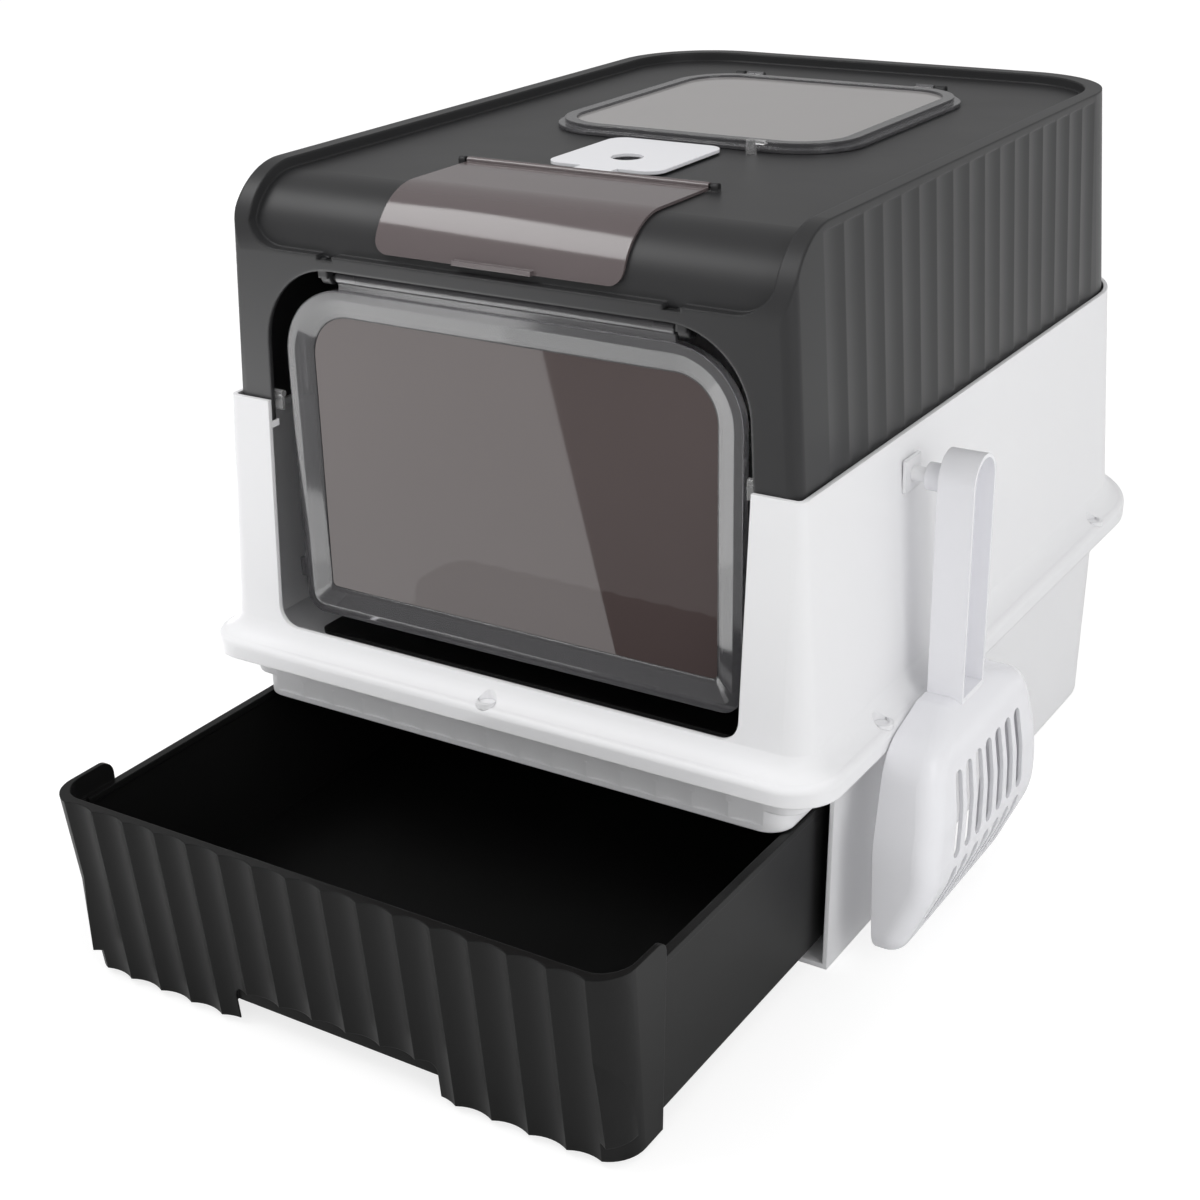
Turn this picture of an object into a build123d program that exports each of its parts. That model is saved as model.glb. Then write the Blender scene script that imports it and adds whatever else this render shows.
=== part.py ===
"""Drawer litter box: white base and mid frame, dark cover, black pull-out drawer.

Millimetres, X to the right, Y to the back, Z up. The origin is on the floor, in the middle of
the body. The drawer is drawn part-way out, as it stands while the box is being emptied.
"""

import os
from math import atan2, copysign, degrees

from build123d import *

os.makedirs("parts", exist_ok=True)

# ---------------------------------------------------------------- driving dimensions
# Whole body
WIDTH = 401.0  # over the flared rim
DEPTH = 530.6  # over the flared rim
WALL = 2.6  # moulded wall of base, mid frame and cover
FLOOR = 3.0  # floor of the base
CORNER_REAR = 65.0  # upright rear corners
CORNER_FRONT = 5.0  # upright front corners of the mid frame, at its top

# Clearances
NEST_GAP = 0.3  # cover tongue inside the mid frame
LOOSE_GAP = 0.4  # parts that drop or lift in by hand
RUN_GAP = 0.08  # hinge pin in the bracket it turns in
FIT_GAP = 0.04  # hinge pin in the lug that holds it, pane in its frame
EAR_GAP = 0.9  # drawer ears outside the band
EAR_STAND = 3.3  # drawer ears in front of the side walls, closed
EAR_HEADROOM = 1.0  # over the drawer ears
RUNNER_GAP = 0.3  # tray over its runners
LID_GAP = 0.3  # lid over the deck
VISOR_GAP = 0.5  # visor over the deck

# Base
RIM_Z = 131.0  # lower edge of the flared rim
BASE_TOP = 134.0  # top face of the base flange, inside the rim
BASE_INSET = 19.3  # base wall in from the rim edge
BASE_DRAFT = 2.6  # base wall leans in by this much at the floor
BASE_FLANGE = 6.0  # flange that carries the mid frame
MOUTH_Y = -203.5  # front edges of the side walls
BAND_Z = 102.4  # lower edge of the fluted band over the mouth
BAND_CORNER = 14.0
BAND_LIP = 3.4  # plain lip under the band's flutes
BAND_FLUTE_DEPTH = 1.1
RUNNER_X = 150.0
RUNNER_W = 6.0

# Drawer
FLUTES = 15
FLUTE_PITCH = 21.6
FLUTE_DEPTH = 2.8
PANEL_TOP = 113.7
PANEL_FOOT = 4.0
PANEL_HALF_TOP = 175.4
PANEL_HALF_FOOT = 172.2
PANEL_LEAN = 11.7  # panel face stands this much further out at the top
PANEL_T = 6.8
PANEL_CORNER = 20.0
PANEL_SKIRT = 3.6  # panel below the tray floor
EAR_T = 2.6
EAR_LENGTH = 48.0
EAR_ROUND = 8.0
TRAY_Z = 16.0  # underside of the raised tray
TRAY_TOP = 101.4
TRAY_HALF_TOP = 173.3
TRAY_HALF_FOOT = 172.0
TRAY_WALL = 2.4
TRAY_FLOOR = 2.5
TRAY_BEAD_W = 4.8
TRAY_BEAD_H = 4.0
TRAY_CORNER = 60.0
ROOM_CORNER = 14.0  # inside corners behind the panel
TRAY_LENGTH = 490.0
DRAWER_OUT = 162.0  # how far the drawer stands open
NOTCH_HALF = 65.0
NOTCH_TOP = 25.0
NOTCH_CORNER = 6.0

# Mid frame
MID_TOP = 284.2
FLARE = 13.6  # rim edge out from the wall
FLARE_TOP = 153.0
RIM_LIP = 7.0  # upright edge of the rim
RIM_SHOULDER = 4.0
RIM_HOLLOW = 16.0
MID_DRAFT = 8.6
WEB_HALF = 135.0  # opening of the inner web
WEB_Y = 212.0
SEAT_DEPTH = 12.0  # cover tongue goes this far into the mid frame
SEAT_RIB = 4.0
SEAT_RIB_W = 5.0
CUT_HALF_TOP = 150.2
CUT_HALF_FOOT = 148.4
CUT_Z = 152.6
CUT_CORNER = 12.0
CLIP_W = 11.0
CLIP_T = 1.8
CLIP_RISE = 1.6
CLIP_CRESCENT = 2.2
CLIP_SUNK = 1.5
CLIP_INSET = 6.0
CLIP_Y_NEAR = -177.0
CLIP_Y_FAR = 149.0

# Cover
CREST = 409.7
COVER_DRAFT = 8.0
HUMP_R = 42.0  # front hump seen from the side
SIDE_FLUTES = 17
SIDE_FLUTE_PITCH = 22.0
SIDE_FLUTE_DEPTH = 0.9
SIDE_FLUTE_Y = -20.0  # middle of the row
SIDE_FLUTE_CLEAR = 4.5  # plain edge above the flutes
DECK_DROP = 6.0  # deck below the raised rim
DECK_T = 2.5
DECK_SIDE_INSET = 9.5
DECK_REAR_INSET = 10.0
DECK_REAR_CORNER = 55.0
LEDGE_Z = 370.0
LEDGE_CORNER = 22.0
LEDGE_FLARE = 2.0
ARCH_HALF = 148.5
ARCH_TOP = 362.0
ARCH_CORNER = 46.0
ARCH_LEAN = 2.0
LEDGE_SLOT_X = 105.0
LEDGE_SLOT_W = 10.0
LEDGE_SLOT_D = 2.5
LEDGE_SLOT_IN = 6.0

# Catches behind the front edge of the cover
CATCH_HALF = 5.0
CATCH_R = 2.0
CATCH_GAP = 0.2
CATCH_OUT = 1.5
CATCH_UP = 3.0
CATCH_DOWN = 6.0

# Door
HINGE_Y = -231.0
HINGE_Z = 357.0
PIN_R = 2.0
PIN_LENGTH = 20.0
BRACKET_X = 109.0
BRACKET_T = 6.0
BRACKET_R = 4.4
ROOT = 0.5  # brackets reach this far into what carries them
BAR_R = 3.6
BAR_HALF = 103.0
PIN_HOLD = 12.0  # length of a pin inside the bar
BAR_T = 3.0
STOP_Z = 182.5
STOP_HALF = 5.5
STOP_OUT = 5.0
DOOR_HALF = 141.0
DOOR_TOP = 350.0
DOOR_FOOT = 158.0
DOOR_T = 6.0
DOOR_ROUND_MIN = 3.0
DOOR_CORNER_TOP = 40.0
DOOR_CORNER_FOOT = 12.0
DOOR_BEAD = 5.0
DOOR_BORDER = 16.0  # outer edge to visible pane
PANE_T = 2.0
PANE_LAP = 3.0

# Lid on the deck
LID_HALF = 98.5
LID_FRONT = -50.0
LID_REAR = 156.0
LID_CORNER = 40.0
LID_FLANGE_T = 2.2
LID_RISE = 5.0
LID_BORDER = 16.0  # outer edge to the opening
LID_STEP = 4.0  # flat edge before the bead
LID_BEAD = 7.0  # bead on the flange
LID_PANE_T = 1.6
LID_PANE_UP = 2.0  # seat of the pane over the flange foot
LID_HINGE_X = 60.0
LID_HINGE_HALF = 6.0
LID_HINGE_BACK = 3.0
LID_HINGE_UP = 3.2
LID_BRACKET_X = 71.0
LID_BRACKET_T = 6.0
LID_KNUCKLE_R = 2.6
LID_PIN_R = 1.4
LATCH_X = 50.0
LATCH_H = 8.0
LATCH_R = 3.0
LATCH_CLEAR = 6.0  # latch pin in front of the lid
LATCH_ARM = 9.0
LATCH_ARM_W = 4.0
LATCH_ARM_T = 2.0

# Visor
VISOR_HALF = 75.0
VISOR_REAR = -148.0
VISOR_T = 1.6
VISOR_FOOT = 374.0
VISOR_CORNER = 8.0
VISOR_WINDOW_HALF = 62.0
VISOR_WINDOW_FOOT = 378.0
VISOR_WINDOW_BACK = 8.0  # window in front of the visor pins
VISOR_BRACKET_X = 78.5
VISOR_BRACKET_T = 4.0
VISOR_KNUCKLE_R = 2.0
VISOR_PIN_R = 1.1
VISOR_PIN_HOLD = 14.0
GRIP_HALF = 24.0
GRIP_OUT = 1.5
GRIP_H = 2.5

# Deodoriser
PLATE_HALF = 35.5
PLATE_FRONT = -134.0
PLATE_REAR = -58.0
PLATE_T = 1.8
PLATE_CORNER = 10.0
PLATE_HOLE_R = 9.0
PLATE_HOLE_Y = -105.0
PLATE_TAB_HALF = 11.5
PLATE_TAB_END = -144.5
CUP_Y = -98.0
CUP_R = 23.0
CUP_WALL = 1.6
CUP_DEPTH = 34.0
CUP_FLANGE = 4.0
CUP_FLANGE_T = 1.2
PUCK_H = 14.0
PUCK_EDGE = 1.5

# Pedal
PEDAL_HALF = 137.0
PEDAL_FRONT = -222.0
PEDAL_LENGTH = 130.0
PEDAL_T = 2.4
PEDAL_SLOT = 7.0
PEDAL_SLOTS = 14
PEDAL_EDGE = 8.0  # plain edge beside the slots
PEDAL_FRONT_EDGE = 26.0
PEDAL_REAR_EDGE = 10.0
PEDAL_CORNER = 6.0

# Scoop and its hook
SCOOP_Y = -123.0
SCOOP_BACK = 201.5  # open side of the bowl, just outside the rim
SCOOP_WALL = 2.2
HANDLE_GAP = 0.6  # handle stands out from the bowl's open side
HANDLE_W = 30.0
HANDLE_D = 20.0
HANDLE_TOP = 279.0
HANDLE_FOOT = 128.0
NECK_Z = 146.0
NECK_HALF = 26.0
NECK_OUT = 15.0
SHOULDER_Z = 135.0
SHOULDER_HALF = 66.0
SHOULDER_OUT = 29.0
WAIST_Z = 80.0
BOWL_HALF = 78.0
BOWL_DEPTH = 34.0
BOWL_FOOT = 12.0
BOWL_FOOT_HALF = 74.0
BOWL_FOOT_OUT = 11.0
BOWL_EDGE = 12.0  # rounding between the bowl's flanks and its bottom
BOWL_SLOTS = 7
SLOT_PITCH = 13.2
SLOT_W = 8.6
SLOT_FAN = 1.6  # degrees from one slot to the next
SLOT_SPREAD = 0.02  # pitch grows by this share of the way down
SLOT_ROWS = ((94.0, 50.0), (45.0, 36.0))  # middle height and length of each row
NECK_ROUND, SHOULDER_ROUND, WAIST_ROUND, FOOT_ROUND = 10.0, 26.0, 60.0, 18.0
HOOK_Z = 262.0
HOOK_R = 4.0
HOOK_PLATE = 18.0
HOOK_PLATE_T = 2.2
SOCKET_DEPTH = 10.0
SOCKET_WALL = 3.5

PAST = 2.0  # cuts run past the surface they open
STANDING = (Align.CENTER, Align.CENTER, Align.MIN)
HANGING = (Align.CENTER, Align.CENTER, Align.MAX)

# ---------------------------------------------------------------- derived places
rim_x = WIDTH / 2
rim_y = DEPTH / 2
base_x = rim_x - BASE_INSET
base_y = rim_y - BASE_INSET
mid_x = rim_x - FLARE
mid_y = rim_y - FLARE
mid_top_x = mid_x - MID_DRAFT
mid_top_y = mid_y - MID_DRAFT
cover_x = mid_top_x - WALL - NEST_GAP
cover_y = mid_top_y - WALL - NEST_GAP
tongue_z = MID_TOP - SEAT_DEPTH
deck_z = CREST - DECK_DROP
pad_z = BASE_TOP + WALL
lid_outline = (LID_HALF, LID_FRONT, LID_REAR, LID_CORNER, LID_CORNER)
lid_z = deck_z + LID_GAP
lid_axis_y = LID_REAR + LID_HINGE_BACK
lid_axis_z = deck_z + LID_HINGE_UP
visor_axis_z = deck_z + VISOR_GAP + VISOR_KNUCKLE_R
window_front = VISOR_REAR - VISOR_WINDOW_BACK
clip_z = RIM_Z + RIM_LIP + RIM_SHOULDER - CLIP_SUNK


def grow(size, by):
    """The same outline, set out by a distance, or in by a negative one."""
    half_x, front, rear, r_front, r_rear = size
    return half_x + by, front - by, rear + by, max(r_front + by, 0.6), max(r_rear + by, 0.6)


def plan(size):
    """Oblong seen from above, with one radius at its front and one at its rear corners."""
    half_x, front, rear, r_front, r_rear = size
    corners = [(-half_x, front), (half_x, front), (half_x, rear), (-half_x, rear)]
    with BuildSketch(Plane.XY) as outline:
        with BuildLine():
            FilletPolyline(*corners, radius=[r_front, r_front, r_rear, r_rear], close=True)
        make_face()
    return outline.sketch


def storey(low, z_low, high, z_high):
    """Drafted block between two outlines."""
    with BuildPart() as body:
        with BuildSketch(Plane.XY.offset(z_low)):
            add(plan(low))
        with BuildSketch(Plane.XY.offset(z_high)):
            add(plan(high))
        loft(ruled=True)
    return body.part


def tapered(size, z_low, z_high, lean):
    """Block whose walls all lean in by the same amount on the way up."""
    with BuildPart() as body:
        with BuildSketch(Plane.XY.offset(z_low)):
            add(plan(size))
        extrude(amount=z_high - z_low, taper=degrees(atan2(lean, z_high - z_low)))
    return body.part


def slab(size, z_low, z_high):
    """Upright block of one outline."""
    with BuildPart() as body:
        with BuildSketch(Plane.XY.offset(z_low)):
            add(plan(size))
        extrude(amount=z_high - z_low)
    return body.part


def block(x0, x1, y0, y1, z0, z1, mode=Mode.ADD):
    """Box between six planes, in the open part."""
    with Locations(((x0 + x1) / 2, (y0 + y1) / 2, (z0 + z1) / 2)):
        Box(x1 - x0, y1 - y0, z1 - z0, mode=mode)


def rod(x0, x1, y, z, radius, mode=Mode.ADD):
    """Round bar along X, in the open part."""
    with Locations(Location(((x0 + x1) / 2, y, z), (0, 90, 0))):
        Cylinder(radius, x1 - x0, mode=mode)


def finish(builder, name):
    """Name a finished piece and write it."""
    builder.part.label = name
    export_step(builder.part, f"parts/{name}.step")


# ---------------------------------------------------------------- drawer places
panel_y_top = MOUTH_Y - EAR_LENGTH - EAR_STAND - DRAWER_OUT
panel_y_foot = panel_y_top + PANEL_LEAN
panel_slope = PANEL_LEAN / (PANEL_TOP - PANEL_FOOT)
ear_rear = panel_y_top + EAR_LENGTH
tray_rear = panel_y_top + TRAY_LENGTH


def panel_half(z):
    """Half width of the drawer's front, ears included, at a height."""
    share = (z - PANEL_FOOT) / (PANEL_TOP - PANEL_FOOT)
    return PANEL_HALF_FOOT + (PANEL_HALF_TOP - PANEL_HALF_FOOT) * share


def panel_face(z):
    """Y of the drawer's front face at a height."""
    return panel_y_top + (PANEL_TOP - z) * panel_slope


def panel_outline(z, inset=0.0, front_inset=0.0):
    """Plan outline of the drawer's front and ears at a height."""
    corner = max(PANEL_CORNER - inset, 1.0)
    return panel_half(z) - inset, panel_face(z) + front_inset, ear_rear + EAR_LENGTH, corner, 1.0


# ---------------------------------------------------------------- base tub
band_ear_x = panel_half(BAND_Z) - EAR_T - EAR_GAP  # the ears pass outside this
ear_room_z = PANEL_TOP + EAR_HEADROOM
base_foot = (base_x - BASE_DRAFT, -(base_y - BASE_DRAFT), base_y - BASE_DRAFT, BAND_CORNER, CORNER_REAR)
base_head = (base_x, -base_y, base_y, BAND_CORNER, CORNER_REAR)
band_flute_r = (FLUTE_PITCH**2 / 4 + BAND_FLUTE_DEPTH**2) / (2 * BAND_FLUTE_DEPTH)
runner_top = TRAY_Z - RUNNER_GAP

band_outer = (band_ear_x, -base_y, base_y, BAND_CORNER, 1.0)

with BuildPart() as band_skirt:
    add(slab(band_outer, BAND_Z, ear_room_z))
    add(slab(grow(band_outer, -WALL), BAND_Z, ear_room_z), mode=Mode.SUBTRACT)
    block(-rim_x, rim_x, MOUTH_Y, rim_y, BAND_Z, ear_room_z, mode=Mode.SUBTRACT)

with BuildPart() as band_web:
    add(slab(grow(base_head, -WALL / 2), ear_room_z, ear_room_z + WALL))
    add(slab(grow(band_outer, -WALL), ear_room_z, ear_room_z + WALL), mode=Mode.SUBTRACT)
    block(-rim_x, rim_x, MOUTH_Y, rim_y, ear_room_z, ear_room_z + WALL, mode=Mode.SUBTRACT)

with BuildPart() as base_tub:
    add(storey(base_foot, 0, base_head, BASE_TOP))
    block(-rim_x, rim_x, -rim_y, MOUTH_Y, -1, ear_room_z, mode=Mode.SUBTRACT)
    add(slab(grow(base_head, BASE_FLANGE), BASE_TOP - WALL, BASE_TOP))
    add(storey(grow(base_foot, -WALL), FLOOR, grow(base_head, -WALL), BASE_TOP), mode=Mode.SUBTRACT)
    # lower skirt of the band, set in so that the drawer's ears pass outside it
    add(band_skirt.part)
    add(band_web.part)
    # flutes of the band
    with BuildSketch(Plane.XY.offset(BAND_Z + BAND_LIP)):
        with Locations((0, -base_y - band_flute_r + BAND_FLUTE_DEPTH)):
            with GridLocations(FLUTE_PITCH, 1, FLUTES, 1):
                Circle(band_flute_r)
    extrude(amount=RIM_Z - BAND_Z - BAND_LIP, mode=Mode.SUBTRACT)
    # runners for the tray
    for side in (-1, 1):
        x = side * RUNNER_X
        block(x - RUNNER_W / 2, x + RUNNER_W / 2, MOUTH_Y, base_y - CORNER_REAR, FLOOR, runner_top)
finish(base_tub, "base_tub")

# ---------------------------------------------------------------- drawer
tray_front = panel_face(TRAY_TOP) + PANEL_T / 2
tray_foot = (TRAY_HALF_FOOT, tray_front, tray_rear, PANEL_CORNER, TRAY_CORNER)
tray_head = (TRAY_HALF_TOP, tray_front, tray_rear, PANEL_CORNER, TRAY_CORNER)
room_corner = TRAY_CORNER - TRAY_WALL
room_rear = tray_rear - TRAY_WALL
room_foot = (TRAY_HALF_FOOT - TRAY_WALL, panel_face(TRAY_Z) + PANEL_T, room_rear, ROOM_CORNER, room_corner)
room_head = (TRAY_HALF_TOP - TRAY_WALL, panel_y_top + PANEL_T, room_rear, ROOM_CORNER, room_corner)
flute_r = (FLUTE_PITCH**2 / 4 + FLUTE_DEPTH**2) / (2 * FLUTE_DEPTH)
panel_down = Vector(0, PANEL_LEAN, PANEL_FOOT - PANEL_TOP)
panel_plane = Plane(origin=(0, panel_y_top, PANEL_TOP), x_dir=(1, 0, 0), z_dir=panel_down)
notch_back = panel_face(TRAY_Z) + PANEL_T - TRAY_WALL

with BuildPart() as tray_bead:
    add(slab(tray_head, TRAY_TOP - TRAY_BEAD_H, TRAY_TOP))
    add(slab(grow(tray_head, -TRAY_BEAD_W), TRAY_TOP - TRAY_BEAD_H, TRAY_TOP), mode=Mode.SUBTRACT)
    block(-rim_x, rim_x, panel_y_top, tray_front + PANEL_CORNER, 0, PANEL_TOP, mode=Mode.SUBTRACT)

with BuildPart() as drawer:
    add(storey(panel_outline(PANEL_FOOT), PANEL_FOOT, panel_outline(PANEL_TOP), PANEL_TOP))
    block(-rim_x, rim_x, ear_rear, rim_y, 0, PANEL_TOP + 1, mode=Mode.SUBTRACT)
    fillet(drawer.edges().filter_by(Axis.X).group_by(Axis.Z)[-1].sort_by(Axis.Y)[-1], EAR_ROUND)
    add(storey(panel_outline(PANEL_FOOT, EAR_T, PANEL_T), PANEL_FOOT,
               panel_outline(PANEL_TOP, EAR_T, PANEL_T), PANEL_TOP), mode=Mode.SUBTRACT)
    add(storey(tray_foot, TRAY_Z, tray_head, TRAY_TOP))
    # the panel hangs below the tray as a thin skirt
    add(storey(panel_outline(PANEL_FOOT, EAR_T, PANEL_SKIRT), PANEL_FOOT,
               panel_outline(TRAY_Z, EAR_T, PANEL_SKIRT), TRAY_Z), mode=Mode.SUBTRACT)
    add(storey(room_foot, TRAY_Z + TRAY_FLOOR, room_head, PANEL_TOP), mode=Mode.SUBTRACT)
    add(tray_bead.part)
    # flutes lie along the leaning face
    with BuildSketch(panel_plane.offset(-PAST)):
        with Locations((0, flute_r - FLUTE_DEPTH)):
            with GridLocations(FLUTE_PITCH, 1, FLUTES, 1):
                Circle(flute_r)
    extrude(amount=panel_down.length + 2 * PAST, mode=Mode.SUBTRACT)
    # finger notch, cut right through below the tray
    with BuildSketch(Plane.XZ.offset(-notch_back)):
        RectangleRounded(2 * NOTCH_HALF, 2 * NOTCH_TOP, NOTCH_CORNER)
    extrude(amount=PANEL_CORNER, mode=Mode.SUBTRACT)
    block(-NOTCH_HALF, NOTCH_HALF, panel_y_top, notch_back + PANEL_T, 0, TRAY_Z, mode=Mode.SUBTRACT)
finish(drawer, "drawer")

# ---------------------------------------------------------------- mid frame
mid_foot = (mid_x, -mid_y, mid_y, CORNER_FRONT + MID_DRAFT, CORNER_REAR + MID_DRAFT)
mid_head = grow(mid_foot, -MID_DRAFT)
clip_y_front = -rim_y + CLIP_INSET
clip_x = rim_x - CLIP_INSET
clip_sides = [(side * clip_x, y) for side in (-1, 1) for y in (CLIP_Y_NEAR, CLIP_Y_FAR)]
clip_spots = [(0, clip_y_front)] + clip_sides


def mid_half(z):
    """Half width of the mid frame's wall at a height."""
    return mid_x - MID_DRAFT * (z - FLARE_TOP) / (MID_TOP - FLARE_TOP)


# the flared rim: its section, swept round the foot of the wall
rim_path = plan(mid_foot).face().outer_wire().moved(Location((0, 0, RIM_Z)))
rim_along = rim_path % 0
rim_outward = rim_along.cross(Vector(0, 0, 1))
with BuildPart() as flared_rim:
    with BuildSketch(Plane(origin=rim_path @ 0, x_dir=rim_outward, z_dir=-rim_along)):
        with BuildLine():
            lip = Line((FLARE, 0), (FLARE, RIM_LIP))
            shoulder = RadiusArc(lip @ 1, (FLARE - RIM_SHOULDER, RIM_LIP + RIM_SHOULDER), -RIM_SHOULDER)
            hollow = RadiusArc(shoulder @ 1, (0, FLARE_TOP - RIM_Z), RIM_HOLLOW)
            Polyline(hollow @ 1, (-WALL / 2, FLARE_TOP - RIM_Z), (-WALL / 2, RIM_LIP + RIM_SHOULDER),
                     (FLARE - RIM_SHOULDER, RIM_LIP + RIM_SHOULDER - WALL), (FLARE - WALL, RIM_LIP),
                     (FLARE - WALL, 0), lip @ 0)
        make_face()
    sweep(path=rim_path)

with BuildPart() as cut_out:
    with BuildSketch(Plane.XZ.offset(mid_top_y - 2 * WALL - 2 * SEAT_RIB_W)):
        with BuildLine():
            FilletPolyline((-CUT_HALF_TOP, MID_TOP + PAST), (-CUT_HALF_FOOT, CUT_Z), (CUT_HALF_FOOT, CUT_Z),
                           (CUT_HALF_TOP, MID_TOP + PAST), radius=CUT_CORNER)
            Line((CUT_HALF_TOP, MID_TOP + PAST), (-CUT_HALF_TOP, MID_TOP + PAST))
        make_face()
    extrude(amount=rim_y)

with BuildPart() as mid_frame:
    # upright behind the rim, leaning in above it
    add(slab(mid_foot, BASE_TOP, FLARE_TOP))
    add(tapered(mid_foot, FLARE_TOP, MID_TOP, MID_DRAFT))
    add(flared_rim.part)
    add(slab(grow(mid_foot, -WALL), BASE_TOP, FLARE_TOP), mode=Mode.SUBTRACT)
    add(tapered(grow(mid_foot, -WALL), FLARE_TOP, MID_TOP, MID_DRAFT), mode=Mode.SUBTRACT)
    # inner web over the base flange, open in the middle
    add(slab(grow(mid_foot, -WALL / 2), BASE_TOP, pad_z))
    block(-WEB_HALF, WEB_HALF, -WEB_Y, WEB_Y, RIM_Z, MID_TOP, mode=Mode.SUBTRACT)
    # rib that the cover's tongue sits on
    add(slab(grow(mid_head, -WALL / 2), tongue_z - SEAT_RIB, tongue_z))
    add(slab(grow(mid_head, -WALL - SEAT_RIB_W), tongue_z - SEAT_RIB, tongue_z), mode=Mode.SUBTRACT)
    add(cut_out.part, mode=Mode.SUBTRACT)
    # pockets for the catches on the rim
    for x, y in clip_spots:
        with Locations((x, y, clip_z)):
            Cylinder(CLIP_W / 2 + FIT_GAP, 3 * WALL, align=STANDING, mode=Mode.SUBTRACT)
finish(mid_frame, "mid_frame")

# ---------------------------------------------------------------- cover
cover_foot = (cover_x, -cover_y, cover_y, CORNER_FRONT + 2, CORNER_REAR - WALL)
cover_head = (cover_x - COVER_DRAFT, -cover_y, cover_y - COVER_DRAFT, CORNER_FRONT + 2, CORNER_REAR - WALL)
hump_y = -cover_y + HUMP_R
hump_z = CREST - HUMP_R
deck_r = HUMP_R - DECK_DROP
deck_half = cover_x - COVER_DRAFT - DECK_SIDE_INSET
deck_rear = cover_y - COVER_DRAFT - DECK_REAR_INSET
under_r = deck_r - DECK_T
recess_half = deck_half + LEDGE_FLARE
far = 1.2 * rim_x


def side_profile(radius, foot):
    """Block as wide as the body whose side view is square at the back and round at the front top."""
    top = hump_z + radius
    with BuildPart() as body:
        with BuildSketch(Plane.YZ.offset(-far)):
            with BuildLine():
                bend = RadiusArc((hump_y - radius, hump_z), (hump_y, top), radius)
                Polyline(bend @ 1, (rim_y, top), (rim_y, foot), (hump_y - radius, foot), bend @ 0)
            make_face()
        extrude(amount=2 * far)
    return body.part


# what is cut away above the sunk deck: everything over the deck's side view ...
with BuildPart() as deck_recess:
    block(-far, far, -rim_y, rim_y, LEDGE_Z, CREST + PAST)
    add(side_profile(deck_r, 0), mode=Mode.SUBTRACT)
    # ... inside the rim seen from above
    add(slab((deck_half, -rim_y, deck_rear, 1.0, DECK_REAR_CORNER), 0, CREST + PAST), mode=Mode.INTERSECT)
    # ... and inside the rounded frame seen from the front
    with BuildSketch(Plane.XZ.offset(-rim_y)):
        with BuildLine():
            FilletPolyline((-recess_half, CREST + HUMP_R), (-recess_half, LEDGE_Z), (recess_half, LEDGE_Z),
                           (recess_half, CREST + HUMP_R), radius=LEDGE_CORNER)
            Line((recess_half, CREST + HUMP_R), (-recess_half, CREST + HUMP_R))
        make_face()
    extrude(amount=2 * rim_y, mode=Mode.INTERSECT)

# room under the front ledge, down the back of the front wall
with BuildPart() as front_room:
    add(storey(grow(cover_foot, -WALL), tongue_z, grow(cover_head, -WALL), CREST))
    block(-far, far, -rim_y, rim_y, tongue_z, LEDGE_Z - WALL, mode=Mode.INTERSECT)

with BuildPart() as cover_room:
    add(storey(grow(cover_foot, -WALL), tongue_z, grow(cover_head, -WALL), CREST))
    add(side_profile(under_r, tongue_z), mode=Mode.INTERSECT)
    add(front_room.part)

arch_foot = ARCH_HALF + ARCH_LEAN
arch_head = ARCH_HALF - ARCH_LEAN
with BuildPart() as arch:
    with BuildSketch(Plane.XZ.offset(cover_y - 3 * WALL)):
        with BuildLine():
            FilletPolyline((-arch_foot, tongue_z - PAST), (-arch_head, ARCH_TOP), (arch_head, ARCH_TOP),
                           (arch_foot, tongue_z - PAST), radius=ARCH_CORNER)
            Line((arch_foot, tongue_z - PAST), (-arch_foot, tongue_z - PAST))
        make_face()
    extrude(amount=rim_y)

side_flute_r = (SIDE_FLUTE_PITCH**2 / 4 + SIDE_FLUTE_DEPTH**2) / (2 * SIDE_FLUTE_DEPTH)

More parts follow.
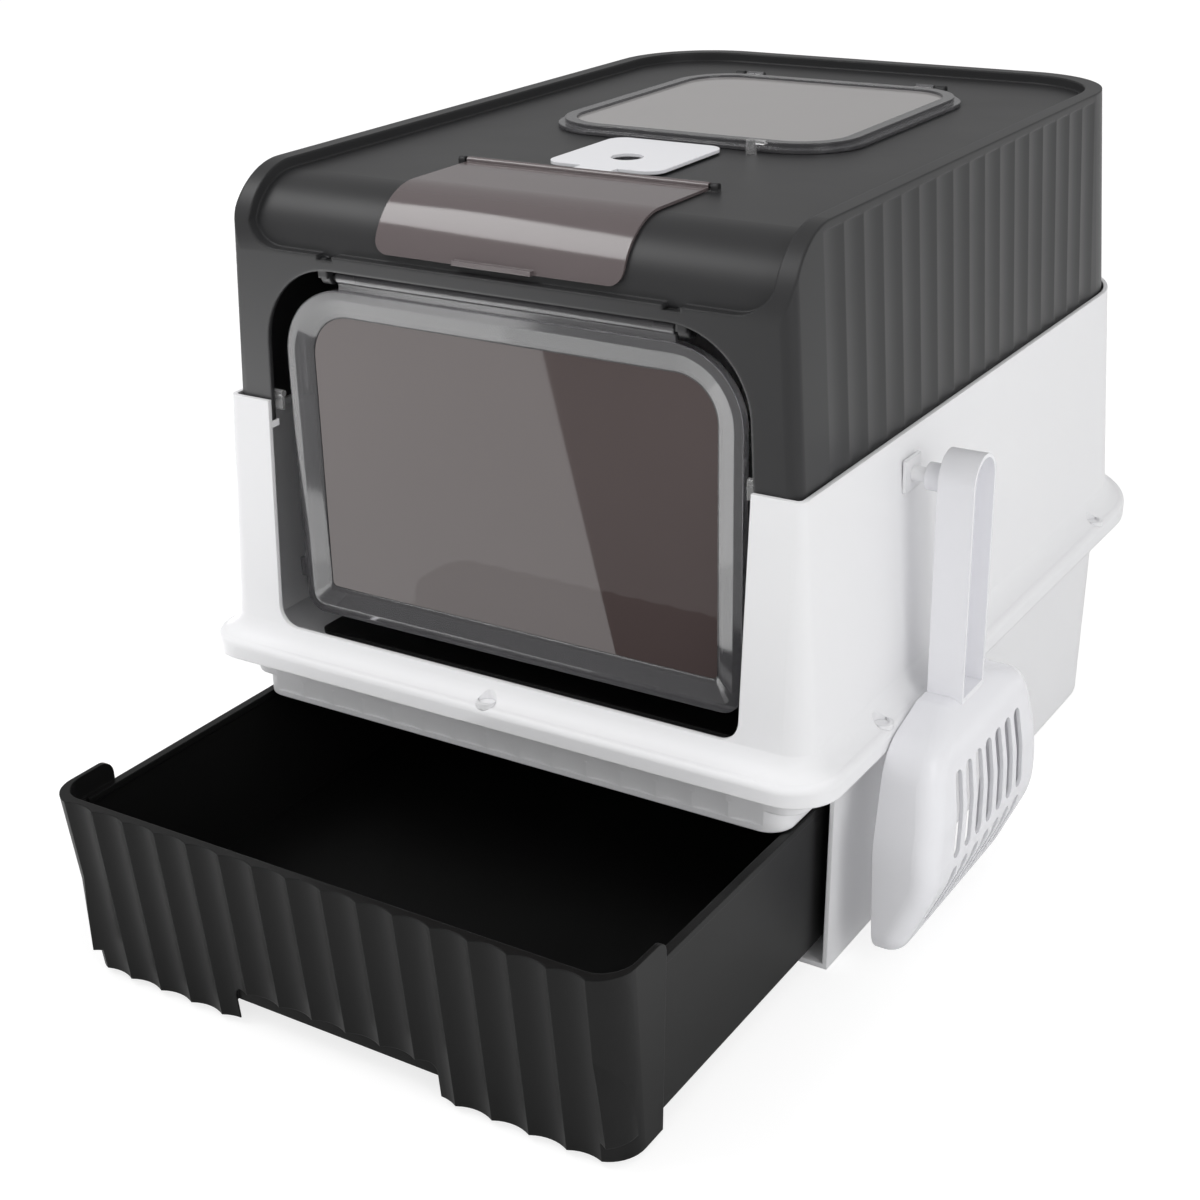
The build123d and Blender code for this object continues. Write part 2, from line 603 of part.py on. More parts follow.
with BuildPart() as cover_shell:
    add(storey(cover_foot, tongue_z, cover_head, CREST))
    add(side_profile(HUMP_R, 0), mode=Mode.INTERSECT)
    add(deck_recess.part, mode=Mode.SUBTRACT)
    add(cover_room.part, mode=Mode.SUBTRACT)
    add(arch.part, mode=Mode.SUBTRACT)
    # openings in the deck: under the lid, under the visor, and for the deodoriser cup
    add(slab(grow(lid_outline, -LID_BORDER), deck_z - 2 * DECK_T, CREST), mode=Mode.SUBTRACT)
    block(-VISOR_WINDOW_HALF, VISOR_WINDOW_HALF, -rim_y, window_front, VISOR_WINDOW_FOOT, CREST,
          mode=Mode.SUBTRACT)
    with Locations((0, CUP_Y, deck_z)):
        Cylinder(CUP_R + LOOSE_GAP, 4 * DECK_T, mode=Mode.SUBTRACT)
    # shallow flutes along the leaning sides
    for side in (-1, 1):
        down = Vector(side * COVER_DRAFT, 0, tongue_z - CREST)
        flank_top = (side * (cover_x - COVER_DRAFT), SIDE_FLUTE_Y, CREST)
        flank = Plane(origin=flank_top, x_dir=(0, side, 0), z_dir=down)
        with BuildSketch(flank.offset(SIDE_FLUTE_CLEAR)):
            with Locations((0, side_flute_r - SIDE_FLUTE_DEPTH)):
                with GridLocations(SIDE_FLUTE_PITCH, 1, SIDE_FLUTES, 1):
                    Circle(side_flute_r)
        extrude(amount=down.length - SEAT_DEPTH - SIDE_FLUTE_CLEAR, mode=Mode.SUBTRACT)
    # slots in the ledge over the door
    for side in (-1, 1):
        x = side * LEDGE_SLOT_X
        block(x - LEDGE_SLOT_W / 2, x + LEDGE_SLOT_W / 2, -rim_y, -cover_y + LEDGE_SLOT_IN,
              LEDGE_Z - LEDGE_SLOT_D, LEDGE_Z + LEDGE_SLOT_D, mode=Mode.SUBTRACT)
    # brackets for the door pins
    for side in (-1, 1):
        x = side * BRACKET_X
        block(x - BRACKET_T / 2, x + BRACKET_T / 2, -cover_y + WALL, HINGE_Y + BRACKET_R,
              HINGE_Z, LEDGE_Z - WALL + ROOT)
        rod(x - BRACKET_T / 2, x + BRACKET_T / 2, HINGE_Y, HINGE_Z, BRACKET_R)
        rod(x - BRACKET_T, x + BRACKET_T, HINGE_Y, HINGE_Z, PIN_R + RUN_GAP, mode=Mode.SUBTRACT)
    # brackets for the lid pins and the visor pins
    for side in (-1, 1):
        x = side * LID_BRACKET_X
        x0, x1 = x - LID_BRACKET_T / 2, x + LID_BRACKET_T / 2
        block(x0, x1, lid_axis_y - LID_KNUCKLE_R, lid_axis_y + LID_KNUCKLE_R, deck_z - ROOT, lid_axis_z)
        rod(x0, x1, lid_axis_y, lid_axis_z, LID_KNUCKLE_R)
        rod(x0 - PAST, x1 + PAST, lid_axis_y, lid_axis_z, LID_PIN_R + RUN_GAP, mode=Mode.SUBTRACT)
        x = side * VISOR_BRACKET_X
        x0, x1 = x - VISOR_BRACKET_T / 2, x + VISOR_BRACKET_T / 2
        block(x0, x1, VISOR_REAR - VISOR_KNUCKLE_R, VISOR_REAR + VISOR_KNUCKLE_R, deck_z - ROOT, visor_axis_z)
        rod(x0, x1, VISOR_REAR, visor_axis_z, VISOR_KNUCKLE_R)
        rod(x0 - PAST, x1 + PAST, VISOR_REAR, visor_axis_z, VISOR_PIN_R + RUN_GAP, mode=Mode.SUBTRACT)
finish(cover_shell, "cover_shell")

# ---------------------------------------------------------------- catches
catch_back = -cover_y + WALL + CATCH_GAP
with BuildPart() as cover_snap_clips:
    for side in (-1, 1):
        x = side * (ARCH_HALF + CATCH_OUT)
        rod(x - CATCH_HALF, x + CATCH_HALF, catch_back + CATCH_R, MID_TOP + CATCH_UP, CATCH_R)
        block(x - CATCH_HALF, x + CATCH_HALF, catch_back, catch_back + CATCH_R, MID_TOP - CATCH_DOWN,
              MID_TOP + CATCH_UP)
finish(cover_snap_clips, "cover_snap_clips")

with BuildPart() as rim_clips:
    for x, y in clip_spots:
        with Locations((x, y, clip_z)):
            Cylinder(CLIP_W / 2, CLIP_T, align=STANDING)
        # crescent on the disc, open towards the wall
        with BuildSketch(Plane.XY.offset(clip_z + CLIP_T)):
            with Locations((x, y)):
                Circle(CLIP_W / 2)
            with Locations((x - copysign(CLIP_CRESCENT, x), y) if x else (x, y + CLIP_CRESCENT)):
                Circle(CLIP_W / 2, mode=Mode.SUBTRACT)
        extrude(amount=CLIP_RISE)
finish(rim_clips, "rim_clips")

# ---------------------------------------------------------------- front door
def door_outline(inset, y):
    """Door outline seen from the front, set in by a distance, on an upright plane."""
    half, top, foot = DOOR_HALF - inset, DOOR_TOP - inset, DOOR_FOOT + inset
    r_top, r_foot = (max(corner - inset, DOOR_ROUND_MIN) for corner in (DOOR_CORNER_TOP, DOOR_CORNER_FOOT))
    with BuildSketch(Plane.XZ.offset(-y)) as outline:
        with BuildLine():
            FilletPolyline((-half, foot), (half, foot), (half, top), (-half, top),
                           radius=[r_foot, r_foot, r_top, r_top], close=True)
        make_face()
    return outline.sketch


def door_slab(inset, y_front, y_back):
    """Flat plate of the door's outline between two upright planes."""
    with BuildPart() as body:
        add(door_outline(inset, y_front))
        extrude(amount=y_back - y_front, dir=(0, 1, 0))
    return body.part


def door_funnel(inset_front, y_front, inset_back, y_back):
    """The door's sloped border: narrows from one outline to another."""
    with BuildPart() as body:
        add(door_outline(inset_front, y_front))
        add(door_outline(inset_back, y_back))
        loft()
    return body.part


door_front = HINGE_Y - DOOR_T / 2
door_back = HINGE_Y + DOOR_T / 2
pane_front = door_back - PANE_T
pane_inset = DOOR_BORDER - PANE_LAP

with BuildPart() as door_frame:
    add(door_slab(0, door_front, door_back))
    add(door_funnel(DOOR_BEAD, door_front, DOOR_BORDER, pane_front), mode=Mode.SUBTRACT)
    add(door_slab(pane_inset - FIT_GAP, pane_front, door_back), mode=Mode.SUBTRACT)
    # hinge bar over the bead
    block(-BAR_HALF, BAR_HALF, HINGE_Y - BAR_T / 2, HINGE_Y + BAR_T / 2, DOOR_TOP - BAR_T, HINGE_Z)
    rod(-BAR_HALF, BAR_HALF, HINGE_Y, HINGE_Z, BAR_R)
    for side in (-1, 1):
        ends = sorted((side * (BAR_HALF - PIN_HOLD), side * (BAR_HALF + PAST)))
        rod(*ends, HINGE_Y, HINGE_Z, PIN_R + FIT_GAP, mode=Mode.SUBTRACT)
    # stop on the left edge
    block(-DOOR_HALF - STOP_OUT, -DOOR_HALF + PAST, HINGE_Y - BAR_T / 2, HINGE_Y + BAR_T / 2,
          STOP_Z - STOP_HALF, STOP_Z + STOP_HALF)
finish(door_frame, "door_frame")

with BuildPart() as door_pane:
    add(door_slab(pane_inset, pane_front, door_back))
finish(door_pane, "door_pane")

with BuildPart() as door_hinge_pins:
    for side in (-1, 1):
        ends = sorted((side * (BAR_HALF - PIN_HOLD), side * (BRACKET_X + BRACKET_T / 2)))
        rod(*ends, HINGE_Y, HINGE_Z, PIN_R)
finish(door_hinge_pins, "door_hinge_pins")

# ---------------------------------------------------------------- lid on the deck
lid_seat = grow(lid_outline, -LID_STEP - LID_BEAD)

with BuildPart() as top_lid_frame:
    add(slab(lid_outline, lid_z, lid_z + LID_FLANGE_T))
    add(slab(grow(lid_outline, -LID_STEP), lid_z, lid_z + LID_RISE))
    add(slab(lid_seat, lid_z + LID_PANE_UP, lid_z + LID_RISE), mode=Mode.SUBTRACT)
    add(slab(grow(lid_outline, -LID_BORDER), lid_z, lid_z + LID_RISE), mode=Mode.SUBTRACT)
    for side in (-1, 1):
        x = side * LID_HINGE_X
        ends = (x - LID_HINGE_HALF, x + LID_HINGE_HALF)
        block(*ends, LID_REAR - LID_STEP, lid_axis_y, lid_z, lid_z + LID_FLANGE_T)
        rod(*ends, lid_axis_y, lid_axis_z, LID_KNUCKLE_R)
        rod(*ends, lid_axis_y, lid_axis_z, LID_PIN_R + FIT_GAP, mode=Mode.SUBTRACT)
finish(top_lid_frame, "top_lid_frame")

with BuildPart() as top_lid_pane:
    pane_z = lid_z + LID_PANE_UP
    add(slab(grow(lid_seat, -RUN_GAP), pane_z, pane_z + LID_PANE_T))
finish(top_lid_pane, "top_lid_pane")

with BuildPart() as lid_hinge_pins:
    for side in (-1, 1):
        ends = sorted((side * (LID_HINGE_X - LID_HINGE_HALF), side * (LID_BRACKET_X + LID_BRACKET_T / 2)))
        rod(*ends, lid_axis_y, lid_axis_z, LID_PIN_R)
finish(lid_hinge_pins, "lid_hinge_pins")

with BuildPart() as lid_latch:
    latch_y = LID_FRONT - LATCH_CLEAR
    with Locations((LATCH_X, latch_y, deck_z)):
        Cylinder(LATCH_R, LATCH_H, align=STANDING)
    # arm, turned away from the lid
    block(LATCH_X, LATCH_X + LATCH_ARM, latch_y - LATCH_ARM_W / 2, latch_y + LATCH_ARM_W / 2,
          deck_z + LATCH_H - LATCH_ARM_T, deck_z + LATCH_H)
finish(lid_latch, "lid_latch")

# ---------------------------------------------------------------- visor
with BuildPart() as visor:
    add(side_profile(deck_r + VISOR_GAP + VISOR_T, 0))
    add(side_profile(deck_r + VISOR_GAP, -1), mode=Mode.SUBTRACT)
    with BuildSketch(Plane.XZ.offset(-VISOR_REAR)):
        with Locations((0, VISOR_FOOT)):
            RectangleRounded(2 * VISOR_HALF, 2 * CREST, VISOR_CORNER, align=(Align.CENTER, Align.MIN))
    extrude(amount=rim_y, mode=Mode.INTERSECT)
    rod(-VISOR_HALF, VISOR_HALF, VISOR_REAR, visor_axis_z, VISOR_KNUCKLE_R)
    rod(-VISOR_HALF, VISOR_HALF, VISOR_REAR, visor_axis_z, VISOR_PIN_R + FIT_GAP, mode=Mode.SUBTRACT)
    # grip along the lower edge
    grip_back = hump_y - deck_r - VISOR_GAP - ROOT
    block(-GRIP_HALF, GRIP_HALF, grip_back - VISOR_T - GRIP_OUT, grip_back, VISOR_FOOT, VISOR_FOOT + GRIP_H)
finish(visor, "visor")

with BuildPart() as visor_hinge_pins:
    for side in (-1, 1):
        ends = sorted((side * (VISOR_HALF - VISOR_PIN_HOLD), side * (VISOR_BRACKET_X + VISOR_BRACKET_T / 2)))
        rod(*ends, VISOR_REAR, visor_axis_z, VISOR_PIN_R)
finish(visor_hinge_pins, "visor_hinge_pins")

# ---------------------------------------------------------------- deodoriser
plate_size = (PLATE_HALF, PLATE_FRONT, PLATE_REAR, PLATE_CORNER, PLATE_CORNER)
cup_top = deck_z + CUP_FLANGE_T

with BuildPart() as deodoriser_plate:
    add(slab(plate_size, cup_top, cup_top + PLATE_T))
    block(-PLATE_TAB_HALF, PLATE_TAB_HALF, PLATE_TAB_END, PLATE_FRONT + PAST, cup_top, cup_top + PLATE_T)
    with Locations((0, PLATE_HOLE_Y, cup_top)):
        Cylinder(PLATE_HOLE_R, 4 * PLATE_T, mode=Mode.SUBTRACT)
finish(deodoriser_plate, "deodoriser_plate")

with BuildPart() as deodoriser_cup:
    with Locations((0, CUP_Y, deck_z)):
        Cylinder(CUP_R + CUP_FLANGE, CUP_FLANGE_T, align=STANDING)
    with Locations((0, CUP_Y, cup_top)):
        Cylinder(CUP_R, CUP_DEPTH, align=HANGING)
        Cylinder(CUP_R - CUP_WALL, CUP_DEPTH - CUP_WALL, align=HANGING,
                 mode=Mode.SUBTRACT)
finish(deodoriser_cup, "deodoriser_cup")

with BuildPart() as carbon_puck:
    with Locations((0, CUP_Y, cup_top - CUP_DEPTH + CUP_WALL)):
        Cylinder(CUP_R - CUP_WALL - LOOSE_GAP, PUCK_H, align=STANDING)
    chamfer(carbon_puck.edges().filter_by(GeomType.CIRCLE).sort_by(Axis.Z)[-1], PUCK_EDGE)
finish(carbon_puck, "carbon_puck")

# ---------------------------------------------------------------- pedal
with BuildPart() as litter_pedal:
    pedal_rear = PEDAL_FRONT + PEDAL_LENGTH
    pedal_size = (PEDAL_HALF + PEDAL_EDGE, PEDAL_FRONT, pedal_rear, PEDAL_CORNER, PEDAL_CORNER)
    add(slab(pedal_size, pad_z, pad_z + PEDAL_T))
    slot_front, slot_rear = PEDAL_FRONT + PEDAL_FRONT_EDGE, pedal_rear - PEDAL_REAR_EDGE
    with BuildSketch(Plane.XY.offset(pad_z)):
        with Locations((0, (slot_front + slot_rear) / 2)):
            with GridLocations(2 * PEDAL_HALF / PEDAL_SLOTS, 1, PEDAL_SLOTS, 1):
                SlotOverall(slot_rear - slot_front, PEDAL_SLOT, rotation=90)
    extrude(amount=PEDAL_T, mode=Mode.SUBTRACT)
finish(litter_pedal, "litter_pedal")

# ---------------------------------------------------------------- scoop and hook
handle_back = SCOOP_BACK + HANDLE_GAP


def handle_arch(inset):
    """Handle outline seen from the side: upright, round at the top."""
    half = HANDLE_W / 2 - inset
    round_z = HANDLE_TOP - HANDLE_W / 2
    with BuildSketch(Plane.YZ.offset(handle_back)) as outline:
        with Locations((SCOOP_Y, HANDLE_FOOT)):
            Rectangle(2 * half, round_z - HANDLE_FOOT, align=(Align.CENTER, Align.MIN))
        with Locations((SCOOP_Y, round_z)):
            Circle(half)
    return outline.sketch


def bowl(inset):
    """Bowl block: its outline seen from the side, crossed with its depth seen from the front."""
    half_side = [(NECK_HALF, NECK_Z), (SHOULDER_HALF, SHOULDER_Z), (BOWL_HALF, WAIST_Z),
                 (BOWL_FOOT_HALF, BOWL_FOOT)]
    ring = [(SCOOP_Y - y, z) for y, z in half_side] + [(SCOOP_Y + y, z) for y, z in reversed(half_side)]
    behind, above, below = SCOOP_BACK - 20, NECK_Z + 10, BOWL_FOOT - 8
    belly = [(behind, above), (SCOOP_BACK + NECK_OUT - 8, above), (SCOOP_BACK + SHOULDER_OUT, SHOULDER_Z),
             (SCOOP_BACK + BOWL_DEPTH, WAIST_Z + 15), (SCOOP_BACK + BOWL_DEPTH, WAIST_Z - 20),
             (SCOOP_BACK + BOWL_FOOT_OUT - 2, below), (behind, below)]
    rounds = [NECK_ROUND, SHOULDER_ROUND, WAIST_ROUND, FOOT_ROUND]
    with BuildSketch(Plane.YZ.offset(SCOOP_BACK - BOWL_EDGE)) as outline:
        with BuildLine():
            FilletPolyline(*ring, radius=rounds + rounds[::-1], close=True)
        make_face()
        if inset:
            offset(amount=-inset, mode=Mode.REPLACE)
    with BuildSketch(Plane.XZ.offset(-SCOOP_Y)) as depth:
        with BuildLine():
            FilletPolyline(*belly, radius=[1, 4, 24, WAIST_ROUND, 50, 3, 1], close=True)
        make_face()
        if inset:
            offset(amount=-inset, mode=Mode.REPLACE)
    with BuildPart() as body:
        add(outline.sketch)
        extrude(amount=BOWL_DEPTH + 20, dir=(1, 0, 0))
        with BuildPart(mode=Mode.PRIVATE) as cross:
            add(depth.sketch)
            extrude(amount=2 * BOWL_HALF, both=True, dir=(0, 1, 0))
        add(cross.part, mode=Mode.INTERSECT)
        # round the bowl's flanks, neck and foot into its bottom
        outer = body.edges().filter_by(lambda edge: edge.center().X > SCOOP_BACK + BOWL_EDGE / 2)
        outer = outer.filter_by(Axis.X, reverse=True)
        level = outer.filter_by(Axis.Y).sort_by(Axis.Z)
        fillet(outer - level[1:-1], BOWL_EDGE - inset)
    return body.part


with BuildPart() as handle_trough:
    add(handle_arch(SCOOP_WALL))
    extrude(amount=HANDLE_D + PAST, dir=(1, 0, 0))
    block(0, 2 * rim_x, SCOOP_Y - HANDLE_W, SCOOP_Y + HANDLE_W, 0, NECK_Z, mode=Mode.SUBTRACT)

with BuildPart() as handle_body:
    add(handle_arch(0))
    extrude(amount=HANDLE_D, dir=(1, 0, 0))

with BuildPart() as scoop:
    add(bowl(0))
    block(0, SCOOP_BACK, -rim_y, rim_y, 0, HANDLE_TOP, mode=Mode.SUBTRACT)
    add(handle_body.part)
    add(bowl(SCOOP_WALL), mode=Mode.SUBTRACT)
    add(handle_trough.part.moved(Location((SCOOP_WALL, 0, 0))), mode=Mode.SUBTRACT)
    # two rows of slots through the bottom of the bowl, fanned out from the neck
    with BuildSketch(Plane.YZ.offset(SCOOP_BACK + BOWL_FOOT_OUT / 2)):
        for slot_z, length in SLOT_ROWS:
            for i in range(BOWL_SLOTS):
                k = i - (BOWL_SLOTS - 1) / 2
                spread = SLOT_PITCH + (NECK_Z - slot_z) * SLOT_SPREAD
                with Locations((SCOOP_Y + k * spread, slot_z)):
                    SlotOverall(length, SLOT_W, rotation=90 + k * SLOT_FAN)
    extrude(amount=2 * BOWL_DEPTH, mode=Mode.SUBTRACT)
    # socket behind the handle, for the hook's peg
    rod(SCOOP_BACK - SOCKET_DEPTH, handle_back + ROOT, SCOOP_Y, HOOK_Z, HOOK_R + SOCKET_WALL)
    rod(SCOOP_BACK - SOCKET_DEPTH - PAST, SCOOP_BACK, SCOOP_Y, HOOK_Z, HOOK_R + LOOSE_GAP, mode=Mode.SUBTRACT)
finish(scoop, "scoop")

with BuildPart() as scoop_hook:
    plate_x = mid_half(HOOK_Z) + HANDLE_GAP
    half = HOOK_PLATE / 2
    block(plate_x, plate_x + HOOK_PLATE_T, SCOOP_Y - half, SCOOP_Y + half, HOOK_Z - half, HOOK_Z + half)
    rod(plate_x, SCOOP_BACK - LOOSE_GAP, SCOOP_Y, HOOK_Z, HOOK_R)
finish(scoop_hook, "scoop_hook")
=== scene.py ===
"""Looks of the drawer litter box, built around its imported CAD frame. Metres, the CAD's own axes."""

import math

import bmesh
import bpy
from mathutils import Matrix, Vector

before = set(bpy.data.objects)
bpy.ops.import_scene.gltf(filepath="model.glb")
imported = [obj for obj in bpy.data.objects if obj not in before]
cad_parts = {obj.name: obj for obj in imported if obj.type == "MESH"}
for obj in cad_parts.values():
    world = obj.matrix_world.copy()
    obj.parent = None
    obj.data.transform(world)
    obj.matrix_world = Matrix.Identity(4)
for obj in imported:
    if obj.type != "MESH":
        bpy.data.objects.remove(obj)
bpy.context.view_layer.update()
scene = bpy.context.scene
MM = 0.001


# ------------------------------------------------------------------ camera
# matched to the photograph: 1200 px square, principal point in the middle
CAMERA_AT = Vector((0.568094, -1.039163, 0.625999))
CAMERA_YAW = math.radians(32.3687)
CAMERA_PITCH = math.radians(23.801)
CAMERA_ROLL = math.radians(-1.30177)
CAMERA_LENS = 60.10
SENSOR = 36.0

forward = Vector((
    -math.sin(CAMERA_YAW) * math.cos(CAMERA_PITCH),
    math.cos(CAMERA_YAW) * math.cos(CAMERA_PITCH),
    -math.sin(CAMERA_PITCH),
))
level_right = Vector((math.cos(CAMERA_YAW), math.sin(CAMERA_YAW), 0))
level_up = level_right.cross(forward)
right = math.cos(CAMERA_ROLL) * level_right + math.sin(CAMERA_ROLL) * level_up
up = -math.sin(CAMERA_ROLL) * level_right + math.cos(CAMERA_ROLL) * level_up

camera_data = bpy.data.cameras.new("camera")
camera_data.lens = CAMERA_LENS
camera_data.sensor_width = SENSOR
camera = bpy.data.objects.new("camera", camera_data)
turn = Matrix((right, up, -forward)).transposed().to_4x4()
camera.matrix_world = Matrix.Translation(CAMERA_AT) @ turn
scene.collection.objects.link(camera)
scene.camera = camera


# ------------------------------------------------------------------ materials
MOULD_DRIFT = 90 * MM  # how slowly tone and gloss change across a moulding
SHEET_DRIFT = 120 * MM  # the same across a see-through sheet
SHEET_WAVE = 35 * MM  # waves in the face of a see-through sheet
GLOSS_SPREAD = 0.05  # roughness either side of a moulding's own
EDGE_SAMPLES = 6


def linear(code, alpha=1.0):
    """sRGB hex colour as linear RGBA."""
    channels = [int(code[i:i + 2], 16) / 255 for i in (1, 3, 5)]
    return [c / 12.92 if c <= 0.04045 else ((c + 0.055) / 1.055) ** 2.4 for c in channels] + [alpha]


def add_node(tree, kind, inputs=None, **settings):
    """Adds a node, sets it up, and fills or links its inputs."""
    made = tree.nodes.new(kind)
    for name, value in settings.items():
        setattr(made, name, value)
    for socket, value in (inputs or {}).items():
        if isinstance(value, bpy.types.NodeSocket):
            tree.links.new(value, made.inputs[socket])
        else:
            made.inputs[socket].default_value = value
    return made


def new_material(name):
    """Empty material with an output, its tree, and Object coordinates."""
    material = bpy.data.materials.new(name)
    material.use_nodes = True
    tree = material.node_tree
    tree.nodes.clear()
    output = add_node(tree, "ShaderNodeOutputMaterial")
    place = add_node(tree, "ShaderNodeTexCoord").outputs["Object"]
    return material, tree, output, place


def noise(tree, place, size, detail):
    """Soft noise whose blotches are about as wide as size."""
    made = add_node(tree, "ShaderNodeTexNoise", {"Vector": place, "Scale": 1 / size, "Detail": detail})
    return made.outputs["Fac"]


def two_tones(tree, drift, light, dark):
    """Two tones that drift into each other."""
    inputs = {"Factor": drift, "A": linear(dark), "B": linear(light)}
    return add_node(tree, "ShaderNodeMix", inputs, data_type="RGBA").outputs["Result"]


def relief(tree, height, depth, edge):
    """Fine relief on a face whose edges are rounded off."""
    rounded = add_node(tree, "ShaderNodeBevel", {"Radius": edge}, samples=EDGE_SAMPLES)
    made = add_node(tree, "ShaderNodeBump", {
        "Height": height, "Normal": rounded.outputs["Normal"], "Strength": 1.0, "Distance": depth,
    })
    return made.outputs["Normal"]


def moulded(name, light, dark, roughness, grain, grain_depth, edge, specular=0.5):
    """Opaque injection-moulded plastic.

    light and dark are the two tones that drift across a large moulding, grain is the size of the
    tool's etched texture, and edge is how far its corners are rounded off.
    """
    material, tree, output, place = new_material(name)
    drift = noise(tree, place, MOULD_DRIFT, 3.0)
    gloss = add_node(tree, "ShaderNodeMapRange", {
        "Value": drift, "To Min": roughness - GLOSS_SPREAD, "To Max": roughness + GLOSS_SPREAD,
    })
    surface = add_node(tree, "ShaderNodeBsdfPrincipled", {
        "Base Color": two_tones(tree, drift, light, dark), "Roughness": gloss.outputs["Result"],
        "Normal": relief(tree, noise(tree, place, grain, 4.0), grain_depth, edge),
        "IOR": 1.49, "Specular IOR Level": specular,
    })
    tree.links.new(surface.outputs["BSDF"], output.inputs["Surface"])
    return material


def clear_sheet(name, light, dark, transmission, roughness, edge, waviness=0.02 * MM, specular=0.5):
    """See-through moulded styrene: a tint, a hint of surface waviness, rounded edges."""
    material, tree, output, place = new_material(name)
    drift = noise(tree, place, SHEET_DRIFT, 2.0)
    surface = add_node(tree, "ShaderNodeBsdfPrincipled", {
        "Base Color": two_tones(tree, drift, light, dark), "Roughness": roughness,
        "Normal": relief(tree, noise(tree, place, SHEET_WAVE, 1.0), waviness, edge),
        "IOR": 1.58, "Specular IOR Level": specular, "Transmission Weight": transmission,
    })
    tree.links.new(surface.outputs["BSDF"], output.inputs["Surface"])
    return material


# polished white polypropylene: bright, smooth, soft highlights
white_pp = moulded(
    "white polypropylene, polished mould", "#F5F5F6", "#F2F2F4",
    roughness=0.36, grain=1.2 * MM, grain_depth=0.004 * MM, edge=1.2 * MM, specular=0.15)
# black polypropylene: deep, with a satin sheen that shows every flute
black_pp = moulded(
    "black polypropylene, satin mould", "#191919", "#131313",
    roughness=0.36, grain=0.9 * MM, grain_depth=0.006 * MM, edge=1.0 * MM, specular=0.22)
# charcoal polypropylene: satin, wide soft highlights along curves
charcoal_pp = moulded(
    "charcoal polypropylene, satin mould", "#333334", "#2E2E2F",
    roughness=0.38, grain=0.9 * MM, grain_depth=0.006 * MM, edge=2.0 * MM, specular=0.3)
# gloss white ABS: slightly harder and cooler than the polypropylene
white_abs = moulded(
    "white ABS, gloss mould", "#F6F6F9", "#F3F3F7",
    roughness=0.22, grain=1.0 * MM, grain_depth=0.003 * MM, edge=0.6 * MM)
# matt black acetal: the hinge pins
pin_acetal = moulded(
    "black acetal, turned pins", "#1C1C1D", "#161617",
    roughness=0.45, grain=0.5 * MM, grain_depth=0.004 * MM, edge=0.2 * MM)
# pressed carbon: coarse, dull grains
carbon = moulded(
    "pressed charcoal granules", "#2A2A2B", "#0E0E0F",
    roughness=0.85, grain=1.6 * MM, grain_depth=0.35 * MM, edge=0.6 * MM, specular=0.2)
# smoked clear styrene: grey, glossy, dark where it is thick
smoke_clear = clear_sheet(
    "smoked clear styrene, door and lid frames", "#858487", "#7B7A7D",
    transmission=0.72, roughness=0.08, edge=1.0 * MM, specular=0.35)
# brown clear styrene: the door's window, flat enough to mirror a straight edge
brown_clear = clear_sheet(
    "brown clear styrene, door window", "#574C4B", "#524746",
    transmission=0.10, roughness=0.03, edge=0.4 * MM, waviness=0.001 * MM, specular=0.2)
# grey clear styrene: the lid's window
grey_clear = clear_sheet(
    "grey clear styrene, lid window", "#ABA8A7", "#A5A2A1",
    transmission=0.15, roughness=0.10, edge=0.4 * MM)
# brown smoked styrene: the visor
smoke_brown = clear_sheet(
    "brown smoked styrene, visor", "#84797A", "#7B7071",
    transmission=0.45, roughness=0.12, edge=0.4 * MM)
# water-clear styrene: the snap catches and the lid's latch
clear_styrene = clear_sheet(
    "water-clear styrene catches", "#F2F2F2", "#ECECEC",
    transmission=0.85, roughness=0.08, edge=0.4 * MM)

MADE_OF = (
    (white_pp, ("base_tub", "mid_frame", "rim_clips", "scoop_hook")),
    (black_pp, ("drawer", "litter_pedal")),
    (charcoal_pp, ("cover_shell",)),
    (white_abs, ("deodoriser_plate", "deodoriser_cup", "scoop")),
    (pin_acetal, ("door_hinge_pins", "lid_hinge_pins", "visor_hinge_pins")),
    (carbon, ("carbon_puck",)),
    (smoke_clear, ("door_frame", "top_lid_frame")),
    (brown_clear, ("door_pane",)),
    (grey_clear, ("top_lid_pane",)),
    (smoke_brown, ("visor",)),
    (clear_styrene, ("cover_snap_clips", "lid_latch")),
)
for finish, nodes in MADE_OF:
    for node in nodes:
        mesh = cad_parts[node].data
        mesh.materials.clear()
        mesh.materials.append(finish)


# ------------------------------------------------------------------ floor and background
FLOOR_HALF = 9.0
FLOOR_Z = -0.0005
PAPER_SHARE = 0.6  # part of the paper that glows for the camera, the rest takes the shadow
PAPER_GLOW = 1.25
AMBIENT = 0.70  # what lights the surfaces
MIRRORED = 0.42  # what glossy surfaces reflect of the dim room between the lamps

floor_mesh = bpy.data.meshes.new("floor")
shape = bmesh.new()
bmesh.ops.create_grid(shape, x_segments=1, y_segments=1, size=FLOOR_HALF)
bmesh.ops.translate(shape, vec=(0, 0, FLOOR_Z), verts=shape.verts)
shape.to_mesh(floor_mesh)
shape.free()
floor = bpy.data.objects.new("floor", floor_mesh)
scene.collection.objects.link(floor)

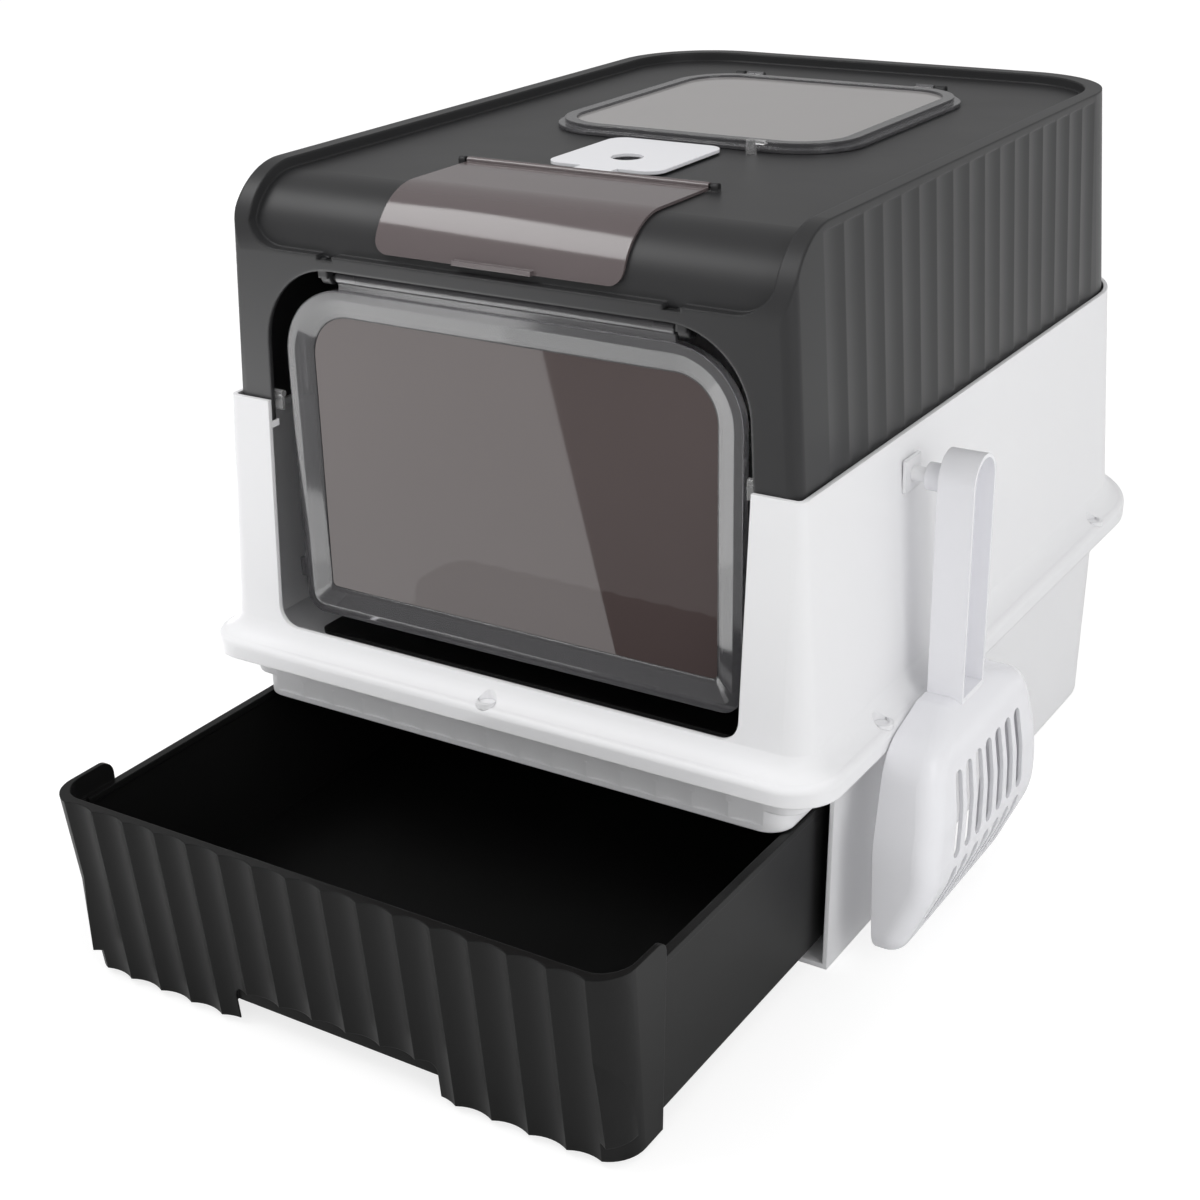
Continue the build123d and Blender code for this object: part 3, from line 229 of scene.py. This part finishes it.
paper, tree, output, place = new_material("white paper sweep")
matt = add_node(tree, "ShaderNodeBsdfDiffuse", {"Color": linear("#F7F7F7"), "Roughness": 1.0})
glow = add_node(tree, "ShaderNodeEmission", {"Color": linear("#FFFFFF"), "Strength": PAPER_GLOW})
path = add_node(tree, "ShaderNodeLightPath")
share = add_node(
    tree, "ShaderNodeMath", {0: path.outputs["Is Camera Ray"], 1: PAPER_SHARE}, operation="MULTIPLY")
blend = add_node(tree, "ShaderNodeMixShader", {0: share.outputs[0], 1: matt.outputs[0], 2: glow.outputs[0]})
tree.links.new(blend.outputs[0], output.inputs["Surface"])
floor_mesh.materials.append(paper)

world = bpy.data.worlds.new("studio")
scene.world = world
world.use_nodes = True
tree = world.node_tree
tree.nodes.clear()
path = add_node(tree, "ShaderNodeLightPath")
room = add_node(tree, "ShaderNodeMapRange", {
    "Value": path.outputs["Is Glossy Ray"], "To Min": AMBIENT, "To Max": MIRRORED})
seen = add_node(tree, "ShaderNodeMath", {
    0: path.outputs["Is Camera Ray"], 1: path.outputs["Is Transmission Ray"]}, operation="MAXIMUM")
level = add_node(tree, "ShaderNodeMapRange", {
    "Value": seen.outputs[0], "To Min": room.outputs["Result"], "To Max": 1.0})
sky = add_node(
    tree, "ShaderNodeBackground", {"Color": linear("#FFFFFF"), "Strength": level.outputs["Result"]})
tree.links.new(sky.outputs[0], add_node(tree, "ShaderNodeOutputWorld").inputs["Surface"])


# ------------------------------------------------------------------ lamps
AIM = Vector((0, -0.1, 0.2))
FILL_AIM = Vector((0, 0, 0.2))
GLARE_NEAR = Vector((0.025, -0.296, 0.13))
GLARE_FAR = Vector((-0.497, -0.980, 0.13))
GLARE_DEEP = 0.5


def softbox(name, place, turned, width, height, power):
    """Rectangular studio light, itself out of the picture, that shines along its own -Z."""
    light = bpy.data.lights.new(name, "AREA")
    light.shape = "RECTANGLE"
    light.size = width
    light.size_y = height
    light.energy = power
    lamp = bpy.data.objects.new(name, light)
    lamp.matrix_world = Matrix.Translation(place) @ turned.to_4x4()
    lamp.visible_camera = False
    scene.collection.objects.link(lamp)
    return lamp


def towards(place, target):
    """Turn that makes a lamp at one point shine at another."""
    return (target - place).to_track_quat("-Z", "Y").to_matrix()


key_at = Vector((-1.1, -0.9, 1.9))
softbox("key, high left", key_at, towards(key_at, AIM), 1.3, 0.8, 15)
fill_at = Vector((1.9, -0.9, 1.0))
softbox("fill, right", fill_at, towards(fill_at, FILL_AIM), 1.0, 1.4, 8)

# low card over the drawer: seen only as the slanted glare across the door's window
sky_up = Vector((0, 0, 1))
along = (GLARE_FAR - GLARE_NEAR).normalized()
across = along.cross(sky_up)
middle = (GLARE_NEAR + GLARE_FAR) / 2 + across * GLARE_DEEP / 2
card_turn = Matrix((along, across, -sky_up)).transposed()
card = softbox("glare card", middle, card_turn, (GLARE_FAR - GLARE_NEAR).length, GLARE_DEEP, 4.5)
card.visible_diffuse = False

scene.view_settings.view_transform = "Standard"
